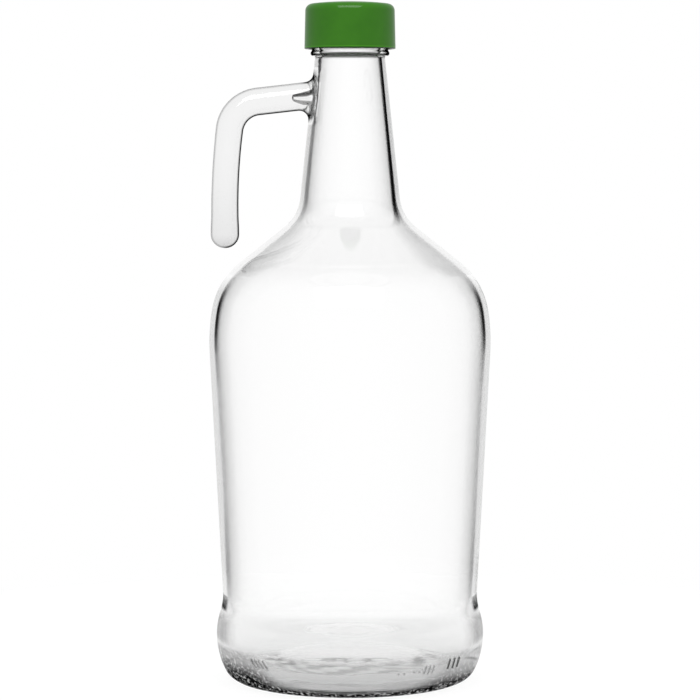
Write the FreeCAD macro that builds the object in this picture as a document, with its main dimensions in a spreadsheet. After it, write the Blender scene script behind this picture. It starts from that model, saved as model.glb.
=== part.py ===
import FreeCAD, Part
import math
import os
import re
import Sketcher

# A two-litre glass jug with an open hook handle, and the plastic screw cap that seats on its
# mouth. The frame's origin is the centre of the base on the table, +Z is up, and the handle
# points to -X. Lengths are in millimetres and slopes in degrees.

SIZES = [
    # mouth and neck
    ("lip_height", 303.0, "rim of the mouth above the table"),
    ("lip_round", 1.2, "rounding of the rim's outer corner"),
    ("finish_radius", 17.1, "outside of the barrel that carries the thread"),
    ("finish_height", 21.8, "rim of the mouth above the neck's top"),
    ("finish_wall", 3.0, "glass between the barrel and the bore at the rim"),
    ("bead_stand", 0.55, "reach of the bead past the barrel"),
    ("bead_half", 1.25, "radius of the bead's own section"),
    ("neck_step", 1.5, "neck's top in from the barrel"),
    ("neck_taper", 6.1, "slope of the neck off plumb"),
    ("neck_fillet", 18.5, "hollow curve from the neck to the shoulder"),
    # shoulder and body
    ("shoulder_slope", 51.3, "slope of the shoulder off plumb"),
    ("shoulder_radius", 34.0, "tight curve over the shoulder"),
    ("belly_radius", 88.0, "easy curve round the widest ring"),
    ("belly_rise", 14.9, "easy curve's end above the widest ring"),
    ("widest_radius", 63.3, "outside of the body at its widest"),
    ("widest_drop", 150.2, "widest ring below the rim of the mouth"),
    ("body_taper", 3.0, "slope of the body below it"),
    # foot and base
    ("foot_fillet", 24.0, "hollow curve from the body to the foot"),
    ("foot_bulge", 34.0, "rounding of the foot band"),
    ("foot_stand", 3.85, "reach of the foot band past the body's slope"),
    ("foot_height", 20.6, "height of the foot band's widest ring"),
    ("heel_radius", 9.0, "rounding from the foot to the table"),
    ("bearing_width", 2.9, "ring that touches the table, from its inside to the heel"),
    ("bearing_round", 1.5, "rounding of that ring's inner corner"),
    ("push_up_height", 6.5, "rise of the hollow under the base"),
    # glass thickness
    ("neck_wall", 2.1, "glass in the neck"),
    ("body_wall", 2.4, "glass in the body and the shoulder"),
    ("foot_wall", 4.1, "glass in the foot band"),
    ("base_wall", 6.5, "glass in the middle of the base"),
    ("floor_radius", 165.0, "dome of the floor inside"),
    ("inner_heel", 12.0, "rounding from the floor to the wall inside"),
    # handle
    ("grip_radius", 6.2, "half the thickness of the handle"),
    ("arm_depth", 15.8, "arm's line on the jug's axis, below the neck's top"),
    ("arm_drop", 6.5, "fall of the arm away from the neck"),
    ("bend_radius", 14.3, "line of the bend between the arm and the leg"),
    ("leg_radius", 300.0, "slow curve of the upper leg"),
    ("leg_inset", 0.9, "outside of the leg in from the body's widest"),
    ("leg_fall", 53.4, "from the arm's line down to where the leg hangs plumb"),
    ("leg_end", 10.8, "from there down to the centre of the leg's round end"),
    ("root_fillet", 4.0, "fillet where the arm leaves the neck"),
    # hollow that the blown neck leaves in the root of the handle
    ("dimple_drop", 3.1, "line of the hollow below the arm's line on the axis"),
    ("dimple_depth", 11.9, "tip of the hollow past the line of the bore"),
    ("dimple_mouth", 3.4, "radius of the hollow on the line of the bore"),
    ("dimple_tip", 1.1, "rounding of the hollow's tip"),
    ("dimple_fillet", 1.8, "fillet round the hollow's mouth"),
    # cap
    ("cap_lift", 2.9, "skirt's lower edge above the neck's top"),
    ("cap_roof", 2.2, "thickness of the crown over the rim"),
    ("thread_room", 1.7, "clearance between the barrel and the skirt"),
    ("skirt_wall", 1.6, "thickness of the skirt at its lower edge"),
    ("cap_draft", 1.3, "slope of the skirt off plumb"),
    ("cap_corner", 3.2, "rounding between the skirt and the crown"),
    ("crown_radius", 150.0, "dome of the crown"),
    ("cap_edge", 0.4, "rounding of the skirt's lower edge"),
]
CELLS = [alias for alias, _, _ in SIZES]

# what follows from the sizes, where more than one feature needs it
FOLLOWS = {
    "neck_top_height": "lip_height - finish_height",
    "neck_top_radius": "finish_radius - neck_step",
    "bore_radius": "finish_radius - finish_wall",
    "bead_across": "finish_radius + bead_stand - bead_half",
    "widest_height": "lip_height - widest_drop",
    "arm_height": "neck_top_height - arm_depth",
    "leg_reach": "widest_radius - leg_inset - grip_radius",
    "leg_height": "arm_height - leg_fall",
    "tip_height": "leg_height - leg_end",
    "dimple_height": "arm_height - dimple_drop",
    "dimple_reach": "bore_radius + dimple_depth",
    "cap_foot": "neck_top_height + cap_lift",
    "cap_height": "finish_height + cap_roof - cap_lift",
    "cap_bore": "finish_radius + thread_room",
    "cap_radius": "cap_bore + skirt_wall",
}

SKIN = {"neck": "0", "body": "0", "foot": "0"}
CAVITY = {"neck": "neck_wall", "body": "body_wall", "foot": "foot_wall"}

START, END, CENTRE = 1, 2, 3
ORIGIN, VERTICAL_AXIS = -1, -2
FULL_TURN = 360.0


def formula(text):
    """An expression on the sheet's cells, with what follows from them written out in full."""
    def spell(match):
        word = match.group()
        if word in FOLLOWS:
            return f"({formula(FOLLOWS[word])})"
        return f"sizes.{word}" if word in CELLS else word
    return re.sub(r"[a-z_]+", spell, text)


class Sizes:
    """The sheet's values and what follows from them, read back by name."""

    def __init__(self, sheet):
        for name in [*CELLS, *FOLLOWS]:
            setattr(self, name, float(sheet.evalExpression(formula(name))))


def make_sheet(doc):
    sheet = doc.addObject("Spreadsheet::Sheet", "sizes")
    for row, (alias, value, meaning) in enumerate(SIZES, start=1):
        sheet.set(f"A{row}", alias)
        sheet.set(f"B{row}", str(value))
        sheet.set(f"C{row}", meaning)
        sheet.setAlias(f"B{row}", alias)
    doc.recompute()
    return sheet


def point(across, up):
    return FreeCAD.Vector(across, up, 0)


def heading(degrees):
    return point(math.cos(math.radians(degrees)), math.sin(math.radians(degrees)))


def slope_of(vector):
    return math.degrees(math.atan2(vector.y, vector.x))


def crossing(first, first_level, second, second_level):
    """The point at a given level along each of two directions."""
    scale = first.x * second.y - first.y * second.x
    across = (first_level * second.y - second_level * first.y) / scale
    up = (first.x * second_level - second.x * first_level) / scale
    return point(across, up)


def on_level(outward, level, centre, distance):
    """The point at a level along outward and at a distance from centre, on its left."""
    left = point(-outward.y, outward.x)
    offset = level - centre.dot(outward)
    return centre + outward * offset + left * math.sqrt(distance ** 2 - offset ** 2)


def circles_meet(first, first_radius, second, second_radius):
    """The meeting point of two circles on the right of the line from the first to the second."""
    span = second - first
    share = (first_radius ** 2 - second_radius ** 2 + span.Length ** 2) / (2 * span.Length)
    unit = span / span.Length
    side = math.sqrt(first_radius ** 2 - share ** 2)
    return first + unit * share + point(unit.y, -unit.x) * side


class Outline:
    """A sketch on one of the body's origin planes, drawn edge by edge and tied to the sheet."""

    def __init__(self, body, name, plane="XZ_Plane"):
        self.sketch = body.newObject("Sketcher::SketchObject", name)
        origin_plane = [item for item in body.Origin.OriginFeatures if item.Role == plane][0]
        self.sketch.AttachmentSupport = [(origin_plane, "")]
        self.sketch.MapMode = "FlatFace"
        self.ends = []

    def shift(self, across, up, out="0"):
        """Shift the sketch in its plane, and out of it, by formulas."""
        for side, offset in {"x": across, "y": up, "z": out}.items():
            self.sketch.setExpression(f"AttachmentOffset.Base.{side}", formula(offset))

    def line(self, start, end):
        index = self.sketch.addGeometry(Part.LineSegment(start, end), False)
        self.ends.append((START, END))
        return index

    def arc(self, centre, radius, first, last):
        """An arc from slope first to slope last, turning left when last is larger."""
        circle = Part.Circle(centre, FreeCAD.Vector(0, 0, 1), radius)
        low, high = sorted((math.radians(first), math.radians(last)))
        index = self.sketch.addGeometry(Part.ArcOfCircle(circle, low, high), False)
        self.ends.append((START, END) if last > first else (END, START))
        return index

    def finish_of(self, index):
        edge = self.sketch.Geometry[index]
        return edge.EndPoint if self.ends[index][1] == END else edge.StartPoint

    def join(self, first, second, smooth=True):
        """Tie the far end of one edge to the near end of the next."""
        kind = "Tangent" if smooth else "Coincident"
        links = (first, self.ends[first][1], second, self.ends[second][0])
        self.sketch.addConstraint(Sketcher.Constraint(kind, *links))

    def rule(self, kind, *where):
        self.sketch.addConstraint(Sketcher.Constraint(kind, *where))

    def bind(self, name, kind, where, value, text):
        """Add a named dimension and tie it to the sheet by a formula."""
        index = self.sketch.addConstraint(Sketcher.Constraint(kind, *where, value))
        self.sketch.renameConstraint(index, name)
        self.sketch.setExpression(f"Constraints.{name}", formula(text))

    def bind_radius(self, name, index, text):
        self.bind(name, "Radius", (index,), self.sketch.Geometry[index].Radius, text)

    def bind_slope(self, name, index, text):
        edge = self.sketch.Geometry[index]
        slope = math.atan2(edge.EndPoint.y - edge.StartPoint.y, edge.EndPoint.x - edge.StartPoint.x)
        self.bind(name, "Angle", (index,), slope % math.tau, f"({text}) * 1 deg")

    def bind_place(self, name, index, where, across=None, up=None):
        """Tie a point's distance across and up from the sketch's origin."""
        edge = self.sketch.Geometry[index]
        spot = {START: "StartPoint", END: "EndPoint", CENTRE: "Center"}[where]
        spot = getattr(edge, spot)
        if across is not None:
            self.bind(f"{name}_across", "DistanceX", (index, where), spot.x, across)
        if up is not None:
            self.bind(f"{name}_up", "DistanceY", (index, where), spot.y, up)


class Side:
    """The curves of the jug's side, from the foot to the neck, at a depth into the glass."""

    def __init__(self, size, neck_wall, body_wall, foot_wall):
        self.neck_out = heading(size.neck_taper)
        self.shoulder_out = heading(size.shoulder_slope)
        self.body_out = heading(-size.body_taper)

        self.belly_centre = point(size.widest_radius - size.belly_radius, size.widest_height)
        self.belly_radius = size.belly_radius - body_wall
        self.belly_turn = math.degrees(math.asin(size.belly_rise / size.belly_radius))
        step = heading(self.belly_turn) * (size.belly_radius - size.shoulder_radius)
        self.shoulder_centre = self.belly_centre + step
        self.shoulder_radius = size.shoulder_radius - body_wall

        inset = neck_wall / math.cos(math.radians(size.neck_taper))
        self.throat = point(size.neck_top_radius - inset, size.neck_top_height)
        self.neck_fillet = size.neck_fillet + body_wall
        shoulder_level = self.shoulder_centre.dot(self.shoulder_out) + self.shoulder_radius
        neck_level = self.throat.dot(self.neck_out)
        self.neck_centre = crossing(
            self.shoulder_out, shoulder_level + self.neck_fillet,
            self.neck_out, neck_level + self.neck_fillet)

        body_level = self.belly_centre.dot(self.body_out) + self.belly_radius
        self.bulge_in = size.foot_bulge - size.foot_stand - body_wall
        self.bulge_centre = crossing(
            self.body_out, body_level - self.bulge_in, point(0, 1), size.foot_height)
        self.bulge_radius = size.foot_bulge - foot_wall
        self.foot_fillet = size.foot_fillet + body_wall
        self.foot_centre = on_level(
            self.body_out, body_level + self.foot_fillet,
            self.bulge_centre, self.bulge_radius + self.foot_fillet)
        self.foot_slope = slope_of(self.foot_centre - self.bulge_centre)


def draw_side(outline, side, size, wall, heel_slope):
    """Draw the side upwards from the slope where the heel meets the foot."""
    half_turn = 180.0
    bulge = outline.arc(side.bulge_centre, side.bulge_radius, heel_slope, side.foot_slope)
    foot = outline.arc(side.foot_centre, side.foot_fillet,
                       half_turn + side.foot_slope, half_turn - size.body_taper)
    belly_foot = side.belly_centre + side.body_out * side.belly_radius
    body = outline.line(outline.finish_of(foot), belly_foot)
    belly = outline.arc(side.belly_centre, side.belly_radius, -size.body_taper, side.belly_turn)
    shoulder = outline.arc(side.shoulder_centre, side.shoulder_radius,
                           side.belly_turn, size.shoulder_slope)
    slope_top = side.neck_centre - side.shoulder_out * side.neck_fillet
    slope = outline.line(outline.finish_of(shoulder), slope_top)
    neck = outline.arc(side.neck_centre, side.neck_fillet,
                       half_turn + size.shoulder_slope, half_turn + size.neck_taper)
    throat = outline.line(outline.finish_of(neck), side.throat)

    chain = [bulge, foot, body, belly, shoulder, slope, neck, throat]
    for lower, upper in zip(chain, chain[1:]):
        outline.join(lower, upper)

    outline.bind_radius("bulge", bulge, f"foot_bulge - {wall['foot']}")
    outline.bind_place("bulge", bulge, CENTRE, None, "foot_height")
    outline.bind("bulge_in", "Distance", (bulge, CENTRE, body), side.bulge_in,
                 f"foot_bulge - foot_stand - {wall['body']}")
    outline.bind_radius("foot_fillet", foot, f"foot_fillet + {wall['body']}")
    outline.bind_slope("body_slope", body, "90 - body_taper")
    outline.bind_radius("belly", belly, f"belly_radius - {wall['body']}")
    outline.bind_place("belly", belly, CENTRE,
                       "widest_radius - belly_radius", "widest_height")
    outline.bind_place("belly_top", belly, END, None,
                       f"widest_height + belly_rise * (1 - {wall['body']} / belly_radius)")
    outline.bind_radius("shoulder", shoulder, f"shoulder_radius - {wall['body']}")
    outline.bind_slope("shoulder_slope", slope, "90 + shoulder_slope")
    outline.bind_radius("neck_fillet", neck, f"neck_fillet + {wall['body']}")
    outline.bind_slope("neck_slope", throat, "90 + neck_taper")
    outline.bind_place("throat", throat, END,
                       f"neck_top_radius - {wall['neck']} / cos(neck_taper * 1 deg)",
                       "neck_top_height")
    return bulge, throat


def close_on_axis(outline, first, last):
    """Close an outline that starts and ends on the jug's axis."""
    start = outline.sketch.Geometry[first]
    start = start.StartPoint if outline.ends[first][0] == START else start.EndPoint
    axis = outline.line(outline.finish_of(last), start)
    outline.join(last, axis, smooth=False)
    outline.join(axis, first, smooth=False)
    outline.rule("PointOnObject", axis, START, VERTICAL_AXIS)
    outline.rule("PointOnObject", axis, END, VERTICAL_AXIS)


def draw_skin(body, size):
    """Half the jug's outside: base, side, bead, thread barrel and rim, and its ring's radius."""
    outline = Outline(body, "skin_outline")
    side = Side(size, 0, 0, 0)
    plumb_down, plumb_up = -90.0, 90.0

    reach = side.bulge_radius - size.heel_radius
    drop = size.foot_height - size.heel_radius
    heel_centre = point(side.bulge_centre.x + math.sqrt(reach ** 2 - drop ** 2), size.heel_radius)
    heel_slope = slope_of(heel_centre - side.bulge_centre)

    ring_inside = point(heel_centre.x - size.bearing_width, 0)
    dome = (ring_inside.x ** 2 + size.push_up_height ** 2) / (2 * size.push_up_height)
    dome_centre = point(0, size.push_up_height - dome)
    push_up = outline.arc(dome_centre, dome, plumb_up, slope_of(ring_inside - dome_centre))
    bearing = outline.line(ring_inside, point(heel_centre.x, 0))
    heel = outline.arc(heel_centre, size.heel_radius, plumb_down, heel_slope)
    bulge, throat = draw_side(outline, side, size, SKIN, heel_slope)

    under = size.bead_across - side.throat.x
    bead_centre = point(size.bead_across,
                        side.throat.y + math.sqrt(size.bead_half ** 2 - under ** 2))
    over = size.finish_radius - size.bead_across
    barrel_foot = point(size.finish_radius,
                        bead_centre.y + math.sqrt(size.bead_half ** 2 - over ** 2))
    bead = outline.arc(bead_centre, size.bead_half,
                       slope_of(side.throat - bead_centre), slope_of(barrel_foot - bead_centre))
    rim_centre = point(size.finish_radius - size.lip_round, size.lip_height - size.lip_round)
    barrel = outline.line(barrel_foot, point(size.finish_radius, rim_centre.y))
    rim = outline.arc(rim_centre, size.lip_round, 0, plumb_up)
    lip = outline.line(point(rim_centre.x, size.lip_height), point(0, size.lip_height))

    outline.join(push_up, bearing, smooth=False)
    outline.join(bearing, heel)
    outline.join(heel, bulge)
    outline.join(throat, bead, smooth=False)
    outline.join(bead, barrel, smooth=False)
    outline.join(barrel, rim)
    outline.join(rim, lip)
    close_on_axis(outline, push_up, lip)

    outline.rule("PointOnObject", push_up, CENTRE, VERTICAL_AXIS)
    outline.bind_place("push_up", push_up, END, None, "push_up_height")
    outline.bind_place("bearing", bearing, START, None, "0")
    outline.rule("Horizontal", bearing)
    outline.bind("bearing", "DistanceX", (bearing, START, bearing, END), size.bearing_width,
                 "bearing_width")
    outline.bind_radius("heel", heel, "heel_radius")
    outline.bind_radius("bead", bead, "bead_half")
    outline.bind_place("bead", bead, CENTRE, "bead_across")
    outline.rule("Vertical", barrel)
    outline.bind_place("barrel", barrel, START, "finish_radius")
    outline.bind_radius("rim", rim, "lip_round")
    outline.rule("Horizontal", lip)
    outline.bind_place("lip", lip, END, None, "lip_height")
    return outline.sketch, ring_inside.x


def draw_cavity(body, size):
    """Half the space inside: domed floor, side, throat and bore."""
    outline = Outline(body, "cavity_outline")
    side = Side(size, size.neck_wall, size.body_wall, size.foot_wall)
    half_turn = 180.0

    floor_height = size.push_up_height + size.base_wall
    floor_centre = point(0, floor_height - size.floor_radius)
    heel_centre = circles_meet(
        floor_centre, size.floor_radius + size.inner_heel,
        side.bulge_centre, side.bulge_radius - size.inner_heel)
    floor_slope = slope_of(heel_centre - floor_centre)
    heel_slope = slope_of(heel_centre - side.bulge_centre)

    floor = outline.arc(floor_centre, size.floor_radius, half_turn / 2, floor_slope)
    heel = outline.arc(heel_centre, size.inner_heel, floor_slope - half_turn, heel_slope)
    bulge, throat = draw_side(outline, side, size, CAVITY, heel_slope)
    bore = outline.line(side.throat, point(size.bore_radius, size.lip_height))
    mouth = outline.line(outline.finish_of(bore), point(0, size.lip_height))

    outline.join(floor, heel)
    outline.join(heel, bulge)
    outline.join(throat, bore, smooth=False)
    outline.join(bore, mouth, smooth=False)
    close_on_axis(outline, floor, mouth)

    outline.rule("PointOnObject", floor, CENTRE, VERTICAL_AXIS)
    outline.bind_radius("floor", floor, "floor_radius")
    outline.bind_place("floor", floor, END, None, "push_up_height + base_wall")
    outline.bind_radius("heel", heel, "inner_heel")
    outline.bind_place("bore", bore, END, "bore_radius", "lip_height")
    outline.rule("Horizontal", mouth)
    return outline.sketch


def draw_handle_line(body, size):
    """The line of the handle, from its tip: a plumb end, a slow curve, a bend and the arm."""
    outline = Outline(body, "handle_line")
    half_turn = 180.0
    above_arm = heading(half_turn / 2 + size.arm_drop)
    inner_end = point(0, size.arm_height)
    leg_centre = point(size.leg_radius - size.leg_reach, size.leg_height)
    # the bend lies inside the leg's curve and below the arm
    bend_centre = on_level(
        above_arm, inner_end.dot(above_arm) - size.bend_radius,
        leg_centre, size.leg_radius - size.bend_radius)
    bend_slope = slope_of(bend_centre - leg_centre)
    plumb = outline.line(point(-size.leg_reach, size.tip_height),
                         point(-size.leg_reach, size.leg_height))
    leg = outline.arc(leg_centre, size.leg_radius, half_turn, bend_slope)
    bend = outline.arc(bend_centre, size.bend_radius, bend_slope, slope_of(above_arm))
    arm = outline.line(outline.finish_of(bend), inner_end)

    outline.join(plumb, leg)
    outline.join(leg, bend)
    outline.join(bend, arm)
    outline.rule("Vertical", plumb)
    outline.bind_place("tip", plumb, START, None, "tip_height")
    outline.bind_radius("leg", leg, "leg_radius")
    outline.bind_place("leg", leg, CENTRE, "leg_radius - leg_reach", "leg_height")
    outline.bind_radius("bend", bend, "bend_radius")
    outline.bind_slope("arm_slope", arm, "arm_drop")
    outline.rule("PointOnObject", arm, END, VERTICAL_AXIS)
    outline.bind_place("arm", arm, END, None, "arm_height")
    return outline.sketch


def draw_circle(body, name, radius, text):
    """A circle on the level plane, round the sketch's own origin."""
    outline = Outline(body, name, "XY_Plane")
    circle = Part.Circle(point(0, 0), FreeCAD.Vector(0, 0, 1), radius)
    index = outline.sketch.addGeometry(circle, False)
    outline.rule("Coincident", index, CENTRE, ORIGIN, START)
    outline.bind_radius("circle", index, text)
    return outline


def draw_tip(body, size):
    """A quarter disc under the leg, turned into the leg's round end."""
    outline = Outline(body, "tip_outline")
    outline.shift("-leg_reach", "tip_height")
    round_end = outline.arc(point(0, 0), size.grip_radius, -90.0, 0)
    top = outline.line(point(size.grip_radius, 0), point(0, 0))
    axis = outline.line(point(0, 0), point(0, -size.grip_radius))
    outline.join(round_end, top, smooth=False)
    outline.join(top, axis, smooth=False)
    outline.join(axis, round_end, smooth=False)
    outline.rule("Coincident", round_end, CENTRE, ORIGIN, START)
    outline.rule("Coincident", top, END, ORIGIN, START)
    outline.rule("Horizontal", top)
    outline.rule("Vertical", axis)
    outline.bind_radius("grip", round_end, "grip_radius")
    return outline.sketch


def draw_dimple(body, size):
    """Half the hollow in the handle's root: a narrowing funnel with a round tip."""
    outline = Outline(body, "dimple_outline")
    outline.shift("0", "dimple_height")
    tip_centre = point(size.dimple_tip - size.dimple_reach, 0)
    mouth = point(-size.bore_radius, size.dimple_mouth)
    reach = mouth - tip_centre
    # slope of the radius that meets the funnel's wall square
    lean = slope_of(reach) + math.degrees(math.acos(size.dimple_tip / reach.Length))
    flank = outline.line(mouth, tip_centre + heading(lean) * size.dimple_tip)
    tip = outline.arc(tip_centre, size.dimple_tip, lean, 180.0)
    line_in = outline.line(outline.finish_of(tip), point(0, 0))
    middle = outline.line(point(0, 0), point(0, size.dimple_mouth))
    lid = outline.line(point(0, size.dimple_mouth), mouth)

    outline.join(flank, tip)
    outline.join(tip, line_in, smooth=False)
    outline.join(line_in, middle, smooth=False)
    outline.join(middle, lid, smooth=False)
    outline.join(lid, flank, smooth=False)
    outline.rule("Coincident", line_in, END, ORIGIN, START)
    outline.rule("Horizontal", line_in)
    outline.rule("Vertical", middle)
    outline.rule("Horizontal", lid)
    outline.rule("PointOnObject", tip, CENTRE, line_in)
    outline.bind_radius("tip", tip, "dimple_tip")
    outline.bind_place("tip", line_in, START, "-dimple_reach")
    outline.bind_place("mouth", flank, START, "-bore_radius", "dimple_mouth")
    return outline.sketch


def turn(body, kind, name, sketch, axis="V_Axis"):
    """Turn a sketch a full turn about one of its own axes."""
    feature = body.newObject(kind, name)
    feature.Profile = sketch
    feature.ReferenceAxis = (sketch, [axis])
    feature.Angle = FULL_TURN
    return feature


def edge_names(feature, wanted):
    """Names of a feature's edges that a test picks out."""
    edges = enumerate(feature.Shape.Edges, start=1)
    return [f"Edge{index}" for index, edge in edges if wanted(edge)]


def round_edges(body, name, base, wanted, radius_name):
    """Fillet the edges that a test picks out, by a radius from the sheet."""
    fillet = body.newObject("PartDesign::Fillet", name)
    fillet.Base = (base, edge_names(base, wanted))
    fillet.setExpression("Radius", formula(radius_name))
    return fillet


def make_jug(doc, size):
    """The glass: a turned blank, the handle, then the blown cavity."""
    body = doc.addObject("PartDesign::Body", "jug_body")
    body.Label = "jug"
    skin, ring_radius = draw_skin(body, size)
    turn(body, "PartDesign::Revolution", "blank", skin)

    handle = body.newObject("PartDesign::AdditivePipe", "handle")
    handle.Spine = draw_handle_line(body, size)
    grip = draw_circle(body, "grip_section", size.grip_radius, "grip_radius")
    grip.shift("-leg_reach", "0", "tip_height")
    handle.Profile = grip.sketch
    tip = turn(body, "PartDesign::Revolution", "handle_tip", draw_tip(body, size))
    doc.recompute()

    def at_root(edge):
        box = edge.BoundBox
        near = box.XMin > -size.leg_reach / 2 and box.XMax < -size.neck_top_radius / 2
        across = box.YLength > size.grip_radius
        return near and across and box.ZMax < size.arm_height + 2 * size.grip_radius

    rooted = round_edges(body, "handle_root", tip, at_root, "root_fillet")
    doc.recompute()

    turn(body, "PartDesign::Groove", "cavity", draw_cavity(body, size))
    dimple = turn(body, "PartDesign::Groove", "dimple", draw_dimple(body, size), "H_Axis")
    doc.recompute()

    def at_dimple_mouth(edge):
        box = edge.BoundBox
        low = box.ZMin > size.dimple_height - 2 * size.dimple_mouth
        high = box.ZMax < size.dimple_height + 2 * size.dimple_mouth
        return low and high and box.XMax < 0 and box.XMin > -size.finish_radius

    mouth = round_edges(body, "dimple_edge", dimple, at_dimple_mouth, "dimple_fillet")
    doc.recompute()

    def at_bearing(edge):
        box = edge.BoundBox
        flat = box.ZLength < size.bearing_round and box.ZMax < size.bearing_round
        return flat and abs(box.XMax - ring_radius) < size.bearing_round / 2

    round_edges(body, "bearing_edge", mouth, at_bearing, "bearing_round")
    doc.recompute()
    return body


def draw_cap(body, size):
    """Half the cap's outside: skirt, corner and crown, as seated on the rim."""
    outline = Outline(body, "cap_outline")
    outline.shift("0", "cap_foot")
    skirt_out = heading(size.cap_draft)
    skirt_foot = point(size.cap_radius, 0)
    crown_centre = point(0, size.cap_height - size.crown_radius)
    corner_centre = on_level(
        skirt_out, skirt_foot.dot(skirt_out) - size.cap_corner,
        crown_centre, size.crown_radius - size.cap_corner)
    crown_slope = slope_of(corner_centre - crown_centre)
    edge = outline.line(point(0, 0), skirt_foot)
    skirt = outline.line(skirt_foot, corner_centre + skirt_out * size.cap_corner)
    corner = outline.arc(corner_centre, size.cap_corner, size.cap_draft, crown_slope)
    crown = outline.arc(crown_centre, size.crown_radius, crown_slope, 90.0)

    outline.join(edge, skirt, smooth=False)
    outline.join(skirt, corner)
    outline.join(corner, crown)
    close_on_axis(outline, edge, crown)
    outline.rule("Horizontal", edge)
    outline.bind_place("skirt", edge, END, "cap_radius", "0")
    outline.bind_slope("draft", skirt, "90 + cap_draft")
    outline.bind_radius("corner", corner, "cap_corner")
    outline.rule("PointOnObject", crown, CENTRE, VERTICAL_AXIS)
    outline.bind_radius("crown", crown, "crown_radius")
    outline.bind_place("crown", crown, END, None, "cap_height")
    return outline.sketch


def make_cap(doc, size):
    """The screw cap: a turned shell bored out to clear the thread barrel."""
    body = doc.addObject("PartDesign::Body", "cap_body")
    body.Label = "cap"
    turn(body, "PartDesign::Revolution", "shell", draw_cap(body, size))

    bore = draw_circle(body, "bore_outline", size.cap_bore, "cap_bore")
    bore.shift("0", "0", "cap_foot")
    pocket = body.newObject("PartDesign::Pocket", "bore")
    pocket.Profile = bore.sketch
    pocket.setExpression("Length", formula("cap_height - cap_roof"))
    pocket.Reversed = True
    doc.recompute()

    def at_lower_edge(edge):
        box = edge.BoundBox
        low = box.ZMax < size.cap_foot + size.cap_edge
        return low and abs(box.XMax - size.cap_radius) < size.cap_edge

    round_edges(body, "skirt_edge", pocket, at_lower_edge, "cap_edge")
    doc.recompute()
    return body


def check(doc, bodies):
    """Stop on any failed object or empty shape."""
    for item in doc.Objects:
        broken = {"Invalid", "Error"} & set(item.State)
        if broken:
            raise RuntimeError(f"{item.Label} is {', '.join(broken)}")
    for body in bodies:
        shape = body.Shape
        if shape.isNull() or not shape.isValid() or len(shape.Solids) != 1:
            raise RuntimeError(f"{body.Label} isn't one valid solid")


def main():
    doc = FreeCAD.newDocument("jug")
    size = Sizes(make_sheet(doc))
    bodies = [make_jug(doc, size), make_cap(doc, size)]
    doc.recompute()
    check(doc, bodies)
    os.makedirs("parts", exist_ok=True)
    for body in bodies:
        body.Shape.exportStep(os.path.join("parts", f"{body.Label}.step"))
        print(body.Label, "volume", round(body.Shape.Volume), "mm3")


main()
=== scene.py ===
import math

import bmesh
import bpy
import numpy as np
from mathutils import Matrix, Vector


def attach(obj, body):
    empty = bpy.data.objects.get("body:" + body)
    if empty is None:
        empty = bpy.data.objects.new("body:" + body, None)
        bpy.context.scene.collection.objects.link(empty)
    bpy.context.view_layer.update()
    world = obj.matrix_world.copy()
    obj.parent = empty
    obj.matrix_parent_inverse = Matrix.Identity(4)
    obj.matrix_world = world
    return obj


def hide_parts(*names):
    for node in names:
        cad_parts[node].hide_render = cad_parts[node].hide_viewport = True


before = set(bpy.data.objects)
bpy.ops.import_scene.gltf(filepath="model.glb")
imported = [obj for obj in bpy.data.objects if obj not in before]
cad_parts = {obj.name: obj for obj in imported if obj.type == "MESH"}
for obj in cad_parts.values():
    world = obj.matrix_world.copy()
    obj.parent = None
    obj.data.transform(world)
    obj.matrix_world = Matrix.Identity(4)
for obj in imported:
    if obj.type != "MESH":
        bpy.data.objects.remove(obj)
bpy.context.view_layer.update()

# A clear glass jug with an open hook handle and a green screw cap. The glass is made here as one
# mesh on the sizes of the CAD source, with what the solid leaves out: the thread, the heel's marks
# and stipple, and the waves of the blown glass. The cap keeps its CAD mesh and gets a material.
# +Z is up and the handle points to -X. Lengths are in millimetres in the CAD's frame. Slopes of the
# outline are in degrees and turns round an axis in radians, unless a comment says otherwise.
MM = 0.001
TAU = math.tau

# ---------------------------------------------------------------- sizes of the glass
# mouth and neck
LIP_HEIGHT, LIP_ROUND, LIP_INNER_ROUND = 303.0, 1.2, 0.5
BARREL_RADIUS, BARREL_HEIGHT, BARREL_WALL = 17.1, 21.8, 3.0
BEAD_STAND, BEAD_HALF = 0.55, 1.25
NECK_STEP, NECK_TAPER, NECK_FILLET, NECK_WALL = 1.5, 6.1, 18.5, 2.1
# shoulder and body
SHOULDER_SLOPE, SHOULDER_RADIUS = 51.3, 34.0
BELLY_RADIUS, BELLY_RISE = 88.0, 14.9
WIDEST_RADIUS, WIDEST_DROP = 63.3, 150.2
BODY_TAPER, BODY_WALL = 3.0, 2.4
# foot, base and the floor inside
FOOT_FILLET, FOOT_BULGE, FOOT_STAND, FOOT_HEIGHT, FOOT_WALL = 24.0, 34.0, 3.85, 20.6, 4.1
HEEL_RADIUS, INNER_HEEL_RADIUS = 9.0, 12.0
BASE_WALL, FLOOR_DOME = 6.5, 165.0
BEARING_WIDTH, PUSH_UP_HEIGHT = 2.9, 6.5
# the hollow base's dome ends this far round, and a small round leads from it to the flat ring
PUSH_UP_SPAN, RING_ROUND_SPAN = 15.4, 17.0
RING_ROUND_CENTRE, RING_ROUND, RING_FLAT = 44.86, 1.72, 44.9
# handle: its arm falls away from the neck, and its leg hangs beside the shoulder
GRIP, ROOT_FILLET = 6.2, 4.0
ARM_DEPTH, ARM_DROP, BEND_RADIUS = 15.8, 6.5, 14.3
LEG_RADIUS, LEG_INSET, LEG_FALL, LEG_END = 300.0, 0.9, 53.4, 10.8
# hollow in the handle's root: a cone along X with a round tip
HOLLOW_DROP, HOLLOW_DEPTH, HOLLOW_MOUTH, HOLLOW_TIP = 3.1, 11.9, 3.4, 1.1
HOLLOW_FILLETS = (1.6, 3.2)      # rolled round the top and the foot of its mouth

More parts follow.
